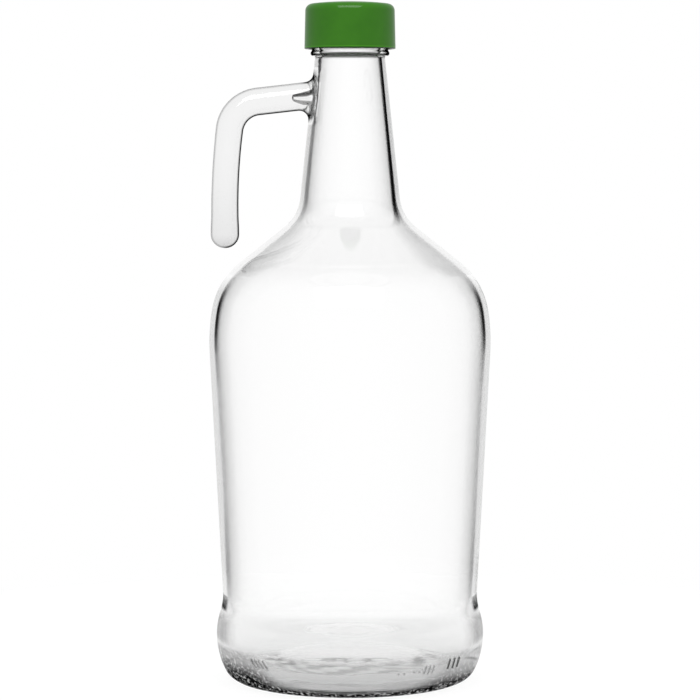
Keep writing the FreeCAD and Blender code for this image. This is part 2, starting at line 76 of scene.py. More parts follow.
# what follows from the sizes
BORE_RADIUS = BARREL_RADIUS - BARREL_WALL
BARREL_TOP = LIP_HEIGHT - LIP_ROUND
NECK_TOP = LIP_HEIGHT - BARREL_HEIGHT
NECK_SLOPE = math.radians(NECK_TAPER)    # in radians
ARM_HEIGHT = NECK_TOP - ARM_DEPTH
LEG_REACH = WIDEST_RADIUS - LEG_INSET - GRIP
LEG_HEIGHT = ARM_HEIGHT - LEG_FALL
TIP_HEIGHT = LEG_HEIGHT - LEG_END
HOLLOW_HEIGHT = ARM_HEIGHT - HOLLOW_DROP

# the heel, which has columns of its own, ends at this slope of the foot's bulge
HEEL_TOP_SLOPE = -3.0
# the neck's rows are even between these heights, where the handle and its hollow join
EVEN_LOW, EVEN_HIGH = 249.0, 277.0
# the windows left there: height of the first and the last row, and columns to each side
ROOT_WINDOW = (250.2, 275.2, 20)
HOLLOW_WINDOW = (269.6, 254.2, 13)

COLUMNS = 176                    # of the glass, round the axis
HANDLE_RING, HOLLOW_RING = 72, 48
STIPPLES = 192

# ---------------------------------------------------------------- outline of the glass
# Points and steps of the outline are (across, up).


def heading(degrees):
    return np.array([math.cos(math.radians(degrees)), math.sin(math.radians(degrees))])


def slope_of(step):
    return math.degrees(math.atan2(step[1], step[0]))


def crossing(first, first_level, second, second_level):
    """The point at a given level along each of two directions."""
    return np.linalg.solve([first, second], [first_level, second_level])


def on_level(outward, level, centre, distance):
    """The point at a level along outward and at a distance from centre, on its left."""
    offset = level - centre @ outward
    left = np.array([-outward[1], outward[0]])
    return centre + offset * outward + math.sqrt(distance ** 2 - offset ** 2) * left


def circles_meet(first, first_radius, second, second_radius):
    """The meeting point of two circles on the right of the line from the first to the second."""
    span = math.dist(first, second)
    unit = (second - first) / span
    share = (first_radius ** 2 - second_radius ** 2 + span ** 2) / (2 * span)
    side = math.sqrt(first_radius ** 2 - share ** 2)
    return first + share * unit + side * np.array([unit[1], -unit[0]])


def arc(centre, radius, first, last, step):
    """Points along an arc from one slope to another, both ends included."""
    count = max(2, math.ceil(abs(math.radians(last - first)) * radius / step) + 1)
    turn = np.radians(np.linspace(first, last, count))
    return np.c_[centre[0] + radius * np.cos(turn), centre[1] + radius * np.sin(turn)]


def line(start, end, step):
    count = max(2, math.ceil(math.dist(start, end) / step) + 1)
    return np.linspace(start, end, count)


def chain(*runs):
    """One run of points from several, without doubled ends."""
    same_place = 0.02
    out = [runs[0]]
    for run in runs[1:]:
        doubled = math.dist(run[0], out[-1][-1]) < same_place
        out.append(run[1:] if doubled else run)
    return np.vstack(out)


def soften(points, reach, step):
    """Even points along a run, averaged over a short reach, without the run's two ends."""
    fine_step = 0.05
    along = np.r_[0, np.cumsum(np.linalg.norm(np.diff(points, axis=0), axis=1))]
    fine = np.arange(0, along[-1], fine_step)
    dense = np.c_[np.interp(fine, along, points[:, 0]), np.interp(fine, along, points[:, 1])]
    half = max(1, int(reach / fine_step))
    kernel = np.hanning(2 * half + 1)
    kernel /= kernel.sum()
    padded = np.pad(dense, ((half, half), (0, 0)), mode="edge")
    soft = np.c_[np.convolve(padded[:, 0], kernel, "valid"),
                 np.convolve(padded[:, 1], kernel, "valid")]
    ease = np.clip(np.minimum(fine, along[-1] - fine) / (2 * reach), 0, 1)[:, None]
    soft = soft * ease + dense * (1 - ease)
    pick = np.linspace(0, along[-1], int(along[-1] / step) + 1)
    return np.c_[np.interp(pick, fine, soft[:, 0]), np.interp(pick, fine, soft[:, 1])][1:-1]


def neck_radius(top, z):
    """Radius of a neck's cone at a height. top is the (across, up) of the cone's top."""
    return top[0] + (top[1] - z) * math.tan(NECK_SLOPE)


def neck_rows(top, foot):
    """Up a neck's cone, with even rows where the handle or its hollow joins."""
    low, high = ((neck_radius(top, z), z) for z in (EVEN_LOW, EVEN_HIGH))
    return chain(line(foot, low, 5.0), line(low, high, 1.3), line(high, top, 1.5))


class Side:
    """The curves of the jug's side, from the foot to the neck, at a depth into the glass."""

    def __init__(self, neck_wall, body_wall, foot_wall):
        self.belly_centre = np.array([WIDEST_RADIUS - BELLY_RADIUS, LIP_HEIGHT - WIDEST_DROP])
        self.belly_radius = BELLY_RADIUS - body_wall
        self.belly_slope = math.degrees(math.asin(BELLY_RISE / BELLY_RADIUS))
        step = heading(self.belly_slope) * (BELLY_RADIUS - SHOULDER_RADIUS)
        self.shoulder_centre = self.belly_centre + step
        self.shoulder_radius = SHOULDER_RADIUS - body_wall

        neck_out, shoulder_out = heading(NECK_TAPER), heading(SHOULDER_SLOPE)
        inset = NECK_STEP + neck_wall / math.cos(NECK_SLOPE)
        self.neck_top = np.array([BARREL_RADIUS - inset, NECK_TOP])
        self.neck_fillet = NECK_FILLET + body_wall
        shoulder_level = self.shoulder_centre @ shoulder_out + self.shoulder_radius
        self.neck_centre = crossing(
            shoulder_out, shoulder_level + self.neck_fillet,
            neck_out, self.neck_top @ neck_out + self.neck_fillet)

        body_out = heading(-BODY_TAPER)
        body_level = self.belly_centre @ body_out + self.belly_radius
        bulge_in = FOOT_BULGE - FOOT_STAND - body_wall
        self.bulge_centre = crossing(body_out, body_level - bulge_in, (0, 1), FOOT_HEIGHT)
        self.bulge_radius = FOOT_BULGE - foot_wall
        self.foot_fillet = FOOT_FILLET + body_wall
        self.foot_centre = on_level(
            body_out, body_level + self.foot_fillet,
            self.bulge_centre, self.bulge_radius + self.foot_fillet)
        self.foot_slope = slope_of(self.foot_centre - self.bulge_centre)

    def rows(self, first_slope, bulge_step, neck_step):
        """Points up the side, from a slope of the foot's bulge to the neck's top."""
        body_out, shoulder_out = heading(-BODY_TAPER), heading(SHOULDER_SLOPE)
        return chain(
            arc(self.bulge_centre, self.bulge_radius, first_slope, self.foot_slope, bulge_step),
            arc(self.foot_centre, self.foot_fillet, 180 + self.foot_slope, 180 - BODY_TAPER, 1.5),
            line(self.foot_centre - self.foot_fillet * body_out,
                 self.belly_centre + self.belly_radius * body_out, 18.0),
            arc(self.belly_centre, self.belly_radius, -BODY_TAPER, self.belly_slope, 2.4),
            arc(self.shoulder_centre, self.shoulder_radius, self.belly_slope, SHOULDER_SLOPE, 1.8),
            line(self.shoulder_centre + self.shoulder_radius * shoulder_out,
                 self.neck_centre - self.neck_fillet * shoulder_out, 5.0),
            arc(self.neck_centre, self.neck_fillet,
                180 + SHOULDER_SLOPE, 180 + NECK_TAPER, neck_step),
            neck_rows(self.neck_top, self.neck_centre - self.neck_fillet * heading(NECK_TAPER)),
        )


SKIN = Side(0, 0, 0)
CAVITY = Side(NECK_WALL, BODY_WALL, FOOT_WALL)


def base_rows():
    """Points from the middle of the base out to the top of the heel."""
    reach, drop = SKIN.bulge_radius - HEEL_RADIUS, FOOT_HEIGHT - HEEL_RADIUS
    heel_centre = (SKIN.bulge_centre[0] + math.sqrt(reach ** 2 - drop ** 2), HEEL_RADIUS)
    heel_slope = -math.degrees(math.asin(drop / reach))
    push_up = ((heel_centre[0] - BEARING_WIDTH) ** 2 + PUSH_UP_HEIGHT ** 2) / (2 * PUSH_UP_HEIGHT)
    rows = chain(
        arc((0, PUSH_UP_HEIGHT - push_up), push_up, 90, 90 - PUSH_UP_SPAN, 3.2),
        arc((RING_ROUND_CENTRE, RING_ROUND), RING_ROUND, 270 - RING_ROUND_SPAN, 270, 0.3),
        line((RING_FLAT, 0), (heel_centre[0], 0), 0.7),
        arc(heel_centre, HEEL_RADIUS, -90, heel_slope, 0.62),
        arc(SKIN.bulge_centre, SKIN.bulge_radius, heel_slope, HEEL_TOP_SLOPE, 0.45),
    )
    rows[:, 1] = rows[:, 1].clip(0)
    return rows


def finish_rows():
    """Points up the bead and the barrel and over the rim, all with softened corners."""
    bead = BARREL_RADIUS + BEAD_STAND - BEAD_HALF
    under, over = bead - SKIN.neck_top[0], BARREL_RADIUS - bead
    bead_centre = np.array([bead, NECK_TOP + math.sqrt(BEAD_HALF ** 2 - under ** 2)])
    barrel_foot = bead_centre + (over, math.sqrt(BEAD_HALF ** 2 - over ** 2))
    rim_out, rim_in = BARREL_RADIUS - LIP_ROUND, BORE_RADIUS + LIP_INNER_ROUND
    rows = chain(
        arc(bead_centre, BEAD_HALF,
            slope_of(SKIN.neck_top - bead_centre), slope_of(barrel_foot - bead_centre), 0.3),
        line(barrel_foot, (BARREL_RADIUS, BARREL_TOP), 0.45),
        arc((rim_out, BARREL_TOP), LIP_ROUND, 0, 90, 0.25),
        line((rim_out, LIP_HEIGHT), (rim_in, LIP_HEIGHT), 0.5),
        arc((rim_in, LIP_HEIGHT - LIP_INNER_ROUND), LIP_INNER_ROUND, 90, 178, 0.2),
    )
    return soften(rows, 0.35, 0.4)


def cavity_rows():
    """Points down the bore and the inner side to the middle of the floor."""
    floor_centre = np.array([0, PUSH_UP_HEIGHT + BASE_WALL - FLOOR_DOME])
    heel_centre = circles_meet(
        floor_centre, FLOOR_DOME + INNER_HEEL_RADIUS,
        CAVITY.bulge_centre, CAVITY.bulge_radius - INNER_HEEL_RADIUS)
    floor_slope = slope_of(heel_centre - floor_centre)
    heel_slope = slope_of(heel_centre - CAVITY.bulge_centre)
    return chain(
        line((BORE_RADIUS, LIP_HEIGHT - 2 * LIP_INNER_ROUND), CAVITY.neck_top, 4.0),
        CAVITY.rows(heel_slope, 1.5, 1.2)[::-1],
        arc(heel_centre, INNER_HEEL_RADIUS, heel_slope, floor_slope - 180, 0.9),
        arc(floor_centre, FLOOR_DOME, floor_slope, 90, 1.6),
    )


BASE = base_rows()
SIDE = chain(SKIN.rows(HEEL_TOP_SLOPE, 1.6, 1.0), finish_rows(), cavity_rows())

# ---------------------------------------------------------------- mesh of the glass
OUTSIDE, INSIDE, HANDLE, HEEL, HOLLOW, BODY = range(6)   # kinds of face, and their materials


class Net:
    """Points and faces of a mesh as it grows."""

    def __init__(self):
        self.points, self.faces, self.kinds, self.tags = [], [], [], []

    def add(self, points, tags):
        """New points, with the four tags of each, as edge_tags has them."""
        start = len(self.points)
        self.points.extend(map(tuple, points))
        self.tags.extend(map(tuple, np.broadcast_to(tags, (len(points), 4))))
        return np.arange(start, start + len(points))

    def face(self, *corners, kind):
        self.faces.append(corners)
        self.kinds.append(kind)

    def band(self, low, high, kind, skip=()):
        """Quads between two closed rings of the same count."""
        count = len(low)
        for j in range(count):
            if j not in skip:
                k = (j + 1) % count
                self.face(low[j], low[k], high[k], high[j], kind=kind)

    def tube(self, last, rings, tags, kind):
        """Rings of points in a row, joined to the last ring before them."""
        for spots, tag in zip(rings, tags):
            ring = self.add(spots, tag)
            self.band(last, ring, kind)
            last = ring
        return last

    def close(self, ring, spot, tags, kind):
        """A fan from a ring to one point."""
        tip = self.add([spot], tags)[0]
        for j in range(len(ring)):
            self.face(ring[j], ring[(j + 1) % len(ring)], tip, kind=kind)

    def stitch(self, low, low_turn, high, high_turn, kind):
        """Triangles between two closed rings of different counts, matched by their angles.
        Both lists of angles rise over one full turn from about the same place."""
        i = j = 0
        n, m = len(low), len(high)
        while i < n or j < m:
            next_low = low_turn[(i + 1) % n] + TAU * ((i + 1) // n)
            next_high = high_turn[(j + 1) % m] + TAU * ((j + 1) // m)
            if j >= m or (i < n and next_low <= next_high):
                self.face(low[i % n], low[(i + 1) % n], high[j % m], kind=kind)
                i += 1
            else:
                self.face(low[i % n], high[(j + 1) % m], high[j % m], kind=kind)
                j += 1


def even_turns(count):
    return np.arange(count) / count * TAU


def by_height(table, z):
    return np.interp(z, *zip(*table))


def ring_points(across, up, turns):
    return np.c_[across * np.cos(turns), across * np.sin(turns), np.broadcast_to(up, len(turns))]


def upright(spot):
    """A point or step of the outline as one in the handle's own plane."""
    return np.array([spot[0], 0.0, spot[1]])


def neck_normal(spot):
    across = math.hypot(spot[0], spot[1])
    return np.array([spot[0] / across * math.cos(NECK_SLOPE),
                     spot[1] / across * math.cos(NECK_SLOPE), math.sin(NECK_SLOPE)])


def neck_distance(top, spot):
    """How far a spot is outside a neck's cone."""
    return (math.hypot(spot[0], spot[1]) - neck_radius(top, spot[2])) * math.cos(NECK_SLOPE)


def rolled_fillet(turns, count, side_at, neck_top, low, high):
    """Rings of the fillet that a ball leaves when it rolls round a tube's root in a neck, and how
    far along the tube the fillet ends, at each turn round it. side_at(turn) gives the tube's side
    as a function of the distance along it, the side's way out and the ball's radius. The ball
    touches the neck somewhere between low and high along the tube."""
    rings, ends = [[] for _ in range(count)], []
    for turn in turns:
        side, out, ball = side_at(turn)
        near, far = low, high
        for _ in range(50):
            middle = (near + far) / 2
            if neck_distance(neck_top, side(middle) + ball * out) > ball:
                near = middle
            else:
                far = middle
        centre = side(near) + ball * out
        first, last = -neck_normal(centre), -out
        spread = math.acos(max(-1, min(1, first.dot(last))))
        for share, ring in zip(np.linspace(0, 1, count), rings):
            way = math.sin((1 - share) * spread) * first + math.sin(share * spread) * last
            ring.append(centre + ball * way / math.sin(spread))
        ends.append(near)
    return [np.array(ring) for ring in rings], np.array(ends)


def window_loop(rings, window):
    """The edge of a window left in a grid, as seen from outside: along its top, down, back along
    its foot and up."""
    low, high, left, right = window
    top = [rings[high][j] for j in range(left, right + 1)]
    bottom = [rings[low][j] for j in range(left, right + 1)]
    near = [rings[i][right] for i in range(high - 1, low, -1)]
    far = [rings[i][left] for i in range(low + 1, high)]
    return top + near + bottom[::-1] + far


def start_at_top(indices, turns):
    """Put a closed ring in the order of its angles, from the smallest up."""
    order = np.argsort(turns % TAU)
    return [indices[k] for k in order], (turns % TAU)[order]


def patch(net, loop, rings, tags, kind):
    """Fill between a window's edge and the first ring of what joins there, and add its rings."""
    centre_z = rings[0][:, 2].mean()

    def angle(spots):
        spots = np.asarray(spots)
        across = np.hypot(spots[:, 0], spots[:, 1])
        side = np.arctan2(spots[:, 1], -spots[:, 0]) * across.mean()
        return np.arctan2(side, spots[:, 2] - centre_z) % TAU

    edge, edge_turn = start_at_top(loop, angle([net.points[k] for k in loop]))
    first = net.add(rings[0], tags)
    ring, ring_turn = start_at_top(list(first), angle(rings[0]))
    net.stitch(edge, edge_turn, ring, ring_turn, kind)
    return net.tube(first, rings[1:], [tags] * (len(rings) - 1), kind)


# ---------------------------------------------------------------- what the CAD solid leaves out
# plain marks that stand out of the heel: middle azimuth, height, length, lean
def bars(first, step, count, z, length, lean):
    return [(first + k * step, z, length, lean) for k in range(count)]


MARKS = (bars(225.0, 2.2, 4, 14.0, 3.6, -38) + bars(298.0, 2.6, 2, 12.0, 0.1, 0)
         + bars(303.4, 2.1, 3, 12.4, 3.0, 14) + bars(316.6, 3.1, 3, 13.6, 4.2, 10)
         + bars(290.8, 2.6, 2, 11.6, 0.1, 0))
MARK_HALF, MARK_HEIGHT, MARK_RADIUS = 0.5, 0.65, 59.8
MARK_ZONES = ((221, 236), (287, 326))    # azimuths where the heel's columns are three times as many
# how much shade is painted on the marks, by azimuth
MARK_PAINTED_SHADES = [(236, 0.7), (287, 0.45), (310, 0.45), (313, 0.95)]
STIPPLE_DEPTH, STIPPLE_STEP, STIPPLE_INSIDE = 0.2, 1.5, 44.5
THREAD_START, THREAD_LAPS, THREAD_PITCH, THREAD_HEIGHT = 288.6, 1.75, 4.2, 1.4
THREAD_ROWS = (283.2, BARREL_TOP)
FLOOR_TOP = 22.0                 # rows of the inside below this height get the floor's waves


def ease(share):
    """From 0 to 1 with a soft start and end."""
    return share * share * (3 - 2 * share)


def marks_at(turns, z):
    """How far the marks stand out at these azimuths, at a height."""
    rise = np.zeros(len(turns))
    for azimuth, middle, length, lean in MARKS:
        along = (np.degrees(turns) - azimuth) * math.radians(1) * MARK_RADIUS
        up = z - middle
        tilt = math.radians(lean)
        run = (along * math.sin(tilt) + up * math.cos(tilt)).clip(-length / 2, length / 2)
        gap = np.hypot(along - run * math.sin(tilt), up - run * math.cos(tilt))
        rise = np.maximum(rise, ease((1.35 - gap / MARK_HALF).clip(0, 1)))
    return rise * MARK_HEIGHT


def stipple_at(turns, across, up):
    """How far the stippled ring under the heel dips at these azimuths."""
    reach = np.interp(up, [0.0, 1.2, 2.2], [1.0, 1.0, 0.0]) if across > STIPPLE_INSIDE else 0.0
    rows = math.cos(TAU * (across + up) / STIPPLE_STEP)
    return STIPPLE_DEPTH * reach * (0.5 - 0.5 * np.cos(STIPPLES * turns) * rows)


def thread_at(turns, z):
    """How far the screw thread stands out of the barrel, at a height."""
    rise = np.zeros(len(turns))
    for lap in range(3):
        share = turns / TAU + lap
        gap = np.abs(z - THREAD_START - THREAD_PITCH * share)
        ends = (np.minimum(share, THREAD_LAPS - share) / 0.05).clip(0, 1)
        rise = np.maximum(rise, ends * ((1.5 - gap) / 0.9).clip(0, 1))
    return THREAD_HEIGHT * ease(rise)


def ripple(turns, z):
    """The slight waves of the blown inner face."""
    wave = (0.07 * np.sin(2 * turns + z / 23 + 1.0) + 0.035 * np.sin(5 * turns - z / 17)
            + 0.02 * np.sin(9 * turns + z / 31 + 2.0))
    return wave * np.interp(z, [14, 30, 150, 215, 240], [0.0, 1.0, 1.0, 0.3, 0.0])


def floor_waves(turns, across):
    """The uneven thickness of the base, and the low step round its middle."""
    reach = np.interp(across, [24, 34, 50, 57], [0.0, 1.0, 1.0, 0.0])
    wave = (0.16 * np.sin(7 * turns + across / 3.0) + 0.12 * np.sin(11 * turns - across / 2.3 + 1.0)
            + 0.08 * np.sin(17 * turns + across / 1.7 + 2.0))
    step_rise, step_edge, step_width = 1.1, 35.5, 4.5
    return wave * reach + step_rise * ease(np.clip((step_edge - across) / step_width, 0, 1))


def floor_unshaded(turns, across):
    """How clear the floor is left by painted shade, seen from above: painted grey in the gully round
    its raised middle, and painted darker patches at both sides of that."""
    gully = np.interp(across, [31.5, 34.5, 50, 57], [0.0, 1.0, 1.0, 0.0])
    side = (1.6 * abs(np.cos(turns)) - 0.75).clip(0, 1)
    side = side * np.interp(across, [31, 33, 38, 41], [0, 1, 1, 0])
    uneven = (np.sin(9 * turns + across / 1.9) + np.sin(23 * turns - across / 1.1 + 1.0)
              + np.sin(14 * turns + across / 2.7 + 2.0))
    patches = (0.5 + 0.55 * uneven).clip(0, 1)
    front = (0.3 - np.sin(turns)).clip(0, 1)
    return 1 - gully * (0.05 + 0.3 * front * patches) - 0.5 * side * patches


# ---------------------------------------------------------------- painted shade of the glass, by height
# How strong the painted dark line is that shows where the wall is seen on edge: faint on the body,
# and dark round the widest ring and on the neck. Left is -X. Outside, the neck has the right line, a
# broken one on its left beside the handle's root, and the heel has one of its own.
BODY_LINE = [
    (30, 0.05), (41, 0.10), (46, 0.26), (52, 0.46), (60, 0.41), (70, 0.22), (80, 0.11),
    (142, 0.09), (147, 0.20), (150, 0.60), (157, 0.75), (161, 1.0), (170, 1.0), (173, 0.93),
    (175.5, 0.80), (179, 0.35), (183, 0.10), (188, 0.0), (205, 0.0)]
LEFT_LINE = [(205, 0.0), (209.5, 0.1), (212, 0.2), (215, 0.35), (219, 0.5), (250, 0.55), (262, 1.0)]
RIGHT_LINE = [(205, 0.0), (208, 0.4), (212, 0.85), (216, 1.0), (281, 1.0)]
ROOT_LINE = [(252, 0.0), (258, 0.8), (281, 1.0)]
HEEL_LINE = [
    (0, 1.0), (6.5, 1.0), (9, 0.85), (12, 0.5), (14, 0.38), (17, 0.3), (18.8, 0.0),
    (32.5, 0.0), (33.5, 1.0), (37, 0.8), (41, 0.3), (45, 0.0)]
# How strong the painted soft grey beside the line is: inside, and outside from the shoulder up
BODY_SOFT = [
    (0, 0.0), (20, 0.0), (28, 0.6), (36, 0.9), (46, 1.0), (181, 1.0), (188, 1.0), (200, 1.0),
    (205, 0.8), (215, 1.0)]
NECK_RIM = [(184, 0.3), (208, 0.3), (216, 0.8), (224, 1.0)]
# How frosted the stippled bearing ring is, outside. From 18.5 up this is the painted soft grey too.
HEEL_FROST = [(0, 1.0), (2.5, 1.0), (5, 0.5), (8, 0.0), (17, 0.0), (18.5, 1.0)]
# How strongly painted shade dims the outer face of the foot and the body towards its outline, and
# how much of that is the painted black line of the shoulder
BODY_RIM = [
    (18.9, 0.0), (21, 1.8), (29, 1.7), (32.5, 0.0), (45, 0.0), (50, 1.0), (176, 1.0), (183, 0.0)]
BLACK_LINE = [
    (146, 0.0), (153, 0.55), (158, 0.9), (162, 1.0), (171, 1.0), (174, 0.7), (178, 0.1),
    (181, 0.0)]
# Painted grey by height, as the share left clear: the thick foot from outside, and the handle's leg
FOOT_UNSHADED = [
    (0, 0.42), (6, 0.48), (9, 0.55), (12, 0.62), (16.5, 0.68), (19, 0.76), (21.8, 0.84),
    (27, 0.86), (32, 0.88), (36, 0.94), (44, 1.0)]
HOOK_UNSHADED = [(194, 0.7), (201, 0.9), (225, 0.98), (240, 1.0)]
# Half the thickness of the handle: a little slimmer half way down, a little fuller at its end
LEG_HALF = [
    (196, 6.35), (201.5, 6.4), (204, 6.36), (209, 6.14), (225, 6.05), (240, 6.08), (252, GRIP)]

# the rows whose outer faces have a kind of their own, by height
BEAD_ROWS = (281.1, 284.6)
BODY_ROWS = ((0.0, 32.5), (45.0, 183.0))
# where the tables of the body end and those of the neck take over, for the painted line, grey and
# breadth
NECK_FOOT, GREY_END, BREADTH_END = 205.0, 183.0, 181.0
RING_TOP, RING_REACH = 12.0, 45.0        # the hollow base lies below and inside these


def edge_tags(points, inner):
    """Four numbers a point: how strong its painted dark line is, how broad, from 0 on the body to 1
    on the neck, how strong the painted soft grey beside the line is, and how clear the glass is left
    by its painted grey seen from outside. On the outer face of the body, broad is the share of the
    painted black line instead."""
    x, y, z = np.asarray(points).T
    across = np.hypot(x, y)
    # 0 on the handle's side, 1 on the other
    lean = ease((0.5 + 1.2 * x / across.clip(1.0)).clip(0, 1))
    if inner:
        neck_line = by_height(LEFT_LINE, z) * (1 - lean) + by_height(RIGHT_LINE, z) * lean
        strength = np.where(z < NECK_FOOT, by_height(BODY_LINE, z), neck_line)
        return np.c_[strength, np.interp(z, [203, 212], [0, 1]), by_height(BODY_SOFT, z),
                     np.ones(len(z))]

    broken = (0.2 + np.sin(1.9 * z) + np.sin(0.83 * z + 1.0)).clip(0, 1) * by_height(ROOT_LINE, z)
    neck_line = by_height(RIGHT_LINE, z) * lean + broken * (1 - lean)
    fainter = 0.5 * lean * np.interp(z, [4, 8, 18, 19], [0, 1, 1, 0])
    heel_line = by_height(HEEL_LINE, z) * (1 - fainter)
    strength = np.where(z < NECK_FOOT, heel_line + by_height(BODY_RIM, z), neck_line)
    broad = np.where(z < BREADTH_END, by_height(BLACK_LINE, z), np.interp(z, [181, 184], [0, 1]))
    soft = np.where(z < GREY_END, by_height(HEEL_FROST, z),
                    by_height(NECK_RIM, z) * (0.85 + 0.15 * lean))
    under = (across < RING_REACH) & (z < RING_TOP)
    on_finish = z > BEAD_ROWS[0]
    return np.c_[np.where(on_finish, 1.0, strength), np.where(on_finish, 0.0, broad),
                 np.where(under, 0.0, soft), np.where(under, 1.0, by_height(FOOT_UNSHADED, z))]


# ---------------------------------------------------------------- parts of the glass
def side_kind(rows, i):
    """The kind of the outer faces between a row and the next."""
    if BEAD_ROWS[0] < rows[i, 1] < BEAD_ROWS[1]:
        return HANDLE
    up = rows[i:i + 2, 1].mean()
    return BODY if any(low < up < high for low, high in BODY_ROWS) else OUTSIDE


def add_side(net, turns):
    """The lathe rows of the side, outside and inside, with a window for the handle and one for its
    hollow. Gives the rows' rings and the two windows."""
    rows = SIDE[:-1]
    rim = int(np.argmax(rows[:, 1]))
    rings = []
    for i, (across, up) in enumerate(rows):
        inner, stand = i >= rim, 0.0
        on_floor = inner and up < FLOOR_TOP
        if inner:
            stand = ripple(turns, up)
        elif THREAD_ROWS[0] < up < THREAD_ROWS[1]:
            stand = thread_at(turns, up)
        spots = ring_points(across + stand, up, turns)
        if on_floor:
            spots[:, 2] += floor_waves(turns, across)
        tags = edge_tags(spots, inner)
        # the inside of the floor takes painted grey and darker patches
        if on_floor:
            tags[:, 3] = floor_unshaded(turns, across)
        rings.append(net.add(spots, tags))

    def window(span, start, end, reach):
        """A window's first and last row in a span of rows, and its first and last column."""
        first, last = (min(span, key=lambda i: abs(rows[i, 1] - z)) for z in (start, end))
        return first, last, COLUMNS // 2 - reach, COLUMNS // 2 + reach

    windows = [window(range(rim), *ROOT_WINDOW), window(range(rim, len(rows)), *HOLLOW_WINDOW)]
    for i in range(len(rows) - 1):
        skip = set()
        for low, high, left, right in windows:
            if low <= i < high:
                skip |= set(range(left, right))
        kind = INSIDE if i >= rim else side_kind(rows, i)
        net.band(rings[i], rings[i + 1], kind, skip=skip)
    net.close(rings[-1], (0, 0, SIDE[-1][1] + floor_waves(0.0, 0.0)), (0.0, 0.0, 0.0, 1.0), INSIDE)
    return rings, windows


def add_base(net, side_ring, side_turns):
    """The heel with its marks, the stippled ring and the hollow base, on columns of their own."""
    coarse = even_turns(2 * STIPPLES)
    turns = []
    for turn in coarse:
        marked = any(low <= math.degrees(turn) < high for low, high in MARK_ZONES)
        parts = 3 if marked else 1
        turns += [turn + k / parts * TAU / len(coarse) for k in range(parts)]
    turns = np.array(turns)
    # painted shade on the marks' cores
    shade = by_height(MARK_PAINTED_SHADES, np.degrees(turns))
    last = None
    for across, up in BASE[-2:0:-1]:
        rise = marks_at(turns, up)
        spots = ring_points(across + rise, up, turns)
        spots[:, 2] += stipple_at(turns, across, up)
        tags = edge_tags(spots, False)
        tags[:, 3] *= 1 - shade * (2.6 * rise / MARK_HEIGHT - 0.6).clip(0, 1)
        ring = net.add(spots, tags)
        if last is None:
            net.stitch(side_ring, side_turns, ring, turns, HEEL)
        else:
            net.band(last, ring, HEEL)
        last = ring
    net.close(last, (0, 0, BASE[0][1]), (0.0, 0.0, 1.0, 1.0), HEEL)


def ring_round(turns, middle, out, radius):
    """A ring round the handle's line, from the way out over to +Y."""
    ways = np.outer(np.cos(turns), out) + np.outer(np.sin(turns), (0, 1, 0))
    return middle + radius * ways


def add_handle(net, loop):
    """The fillet at the neck, the arm, the bend, the leg and its round end."""
    turns = even_turns(HANDLE_RING)
    above_arm = heading(90 + ARM_DROP)
    leg_centre = np.array([LEG_RADIUS - LEG_REACH, LEG_HEIGHT])
    bend_centre = on_level(
        above_arm, ARM_HEIGHT * above_arm[1] - BEND_RADIUS, leg_centre, LEG_RADIUS - BEND_RADIUS)
    bend_slope = slope_of(bend_centre - leg_centre)
    arm_start = upright(bend_centre + BEND_RADIUS * above_arm)
    arm_along, arm_up = upright(heading(ARM_DROP)), upright(above_arm)

    def arm_side(turn):
        out = math.cos(turn) * arm_up + math.sin(turn) * np.array([0, 1, 0])
        return (lambda along: arm_start + along * arm_along + GRIP * out), out, ROOT_FILLET

    fillet, ends = rolled_fillet(turns, 9, arm_side, SKIN.neck_top, low=0.0, high=41.0)
    last = patch(net, loop, fillet, (1.0, 0.0, 1.0, 1.0), HANDLE)

    # the side of the handle that faces the neck gets a darker painted line
    tags = np.ones((HANDLE_RING, 4))
    tags[:, 0] = 0.3 + 0.7 * (0.5 - 0.9 * np.cos(turns)).clip(0, 1)
    tags[:, 1] = 0.0
    arm = [ring_round(turns, arm_start + np.outer(ends * share, arm_along), arm_up, GRIP)
           for share in np.linspace(1, 0, 13)[1:]]
    last = net.tube(last, arm, [tags] * len(arm), HANDLE)

    def on_curve(centre, radius, degrees):
        return upright(centre + radius * heading(degrees)), upright(heading(degrees))

    bend_turns = np.linspace(90 + ARM_DROP, bend_slope, 20)[1:]
    leg_turns = np.linspace(bend_slope, 180, 16)[1:]
    plumb = [upright((-LEG_REACH, z)) for z in np.linspace(LEG_HEIGHT, TIP_HEIGHT, 9)[1:]]
    way = [on_curve(bend_centre, BEND_RADIUS, degrees) for degrees in bend_turns]
    way += [on_curve(leg_centre, LEG_RADIUS, degrees) for degrees in leg_turns]
    way += [(spot, upright((-1, 0))) for spot in plumb]
    leg = [(spot, out, by_height(LEG_HALF, spot[2])) for spot, out in way]
    end_half = by_height(LEG_HALF, TIP_HEIGHT)
    for turn in np.radians(np.linspace(0, 90, 13))[1:-1]:
        spot = upright((-LEG_REACH, TIP_HEIGHT - GRIP * math.sin(turn)))
        leg.append((spot, upright((-1, 0)), end_half * math.cos(turn)))
    for spot, out, radius in leg:
        tags[:, 3] = by_height(HOOK_UNSHADED, spot[2])
        last = net.tube(last, [ring_round(turns, spot, out, radius)], [tags], HANDLE)
    net.close(last, (-LEG_REACH, 0, TIP_HEIGHT - GRIP), (0.8, 0.0, 1.0, 0.7), HANDLE)


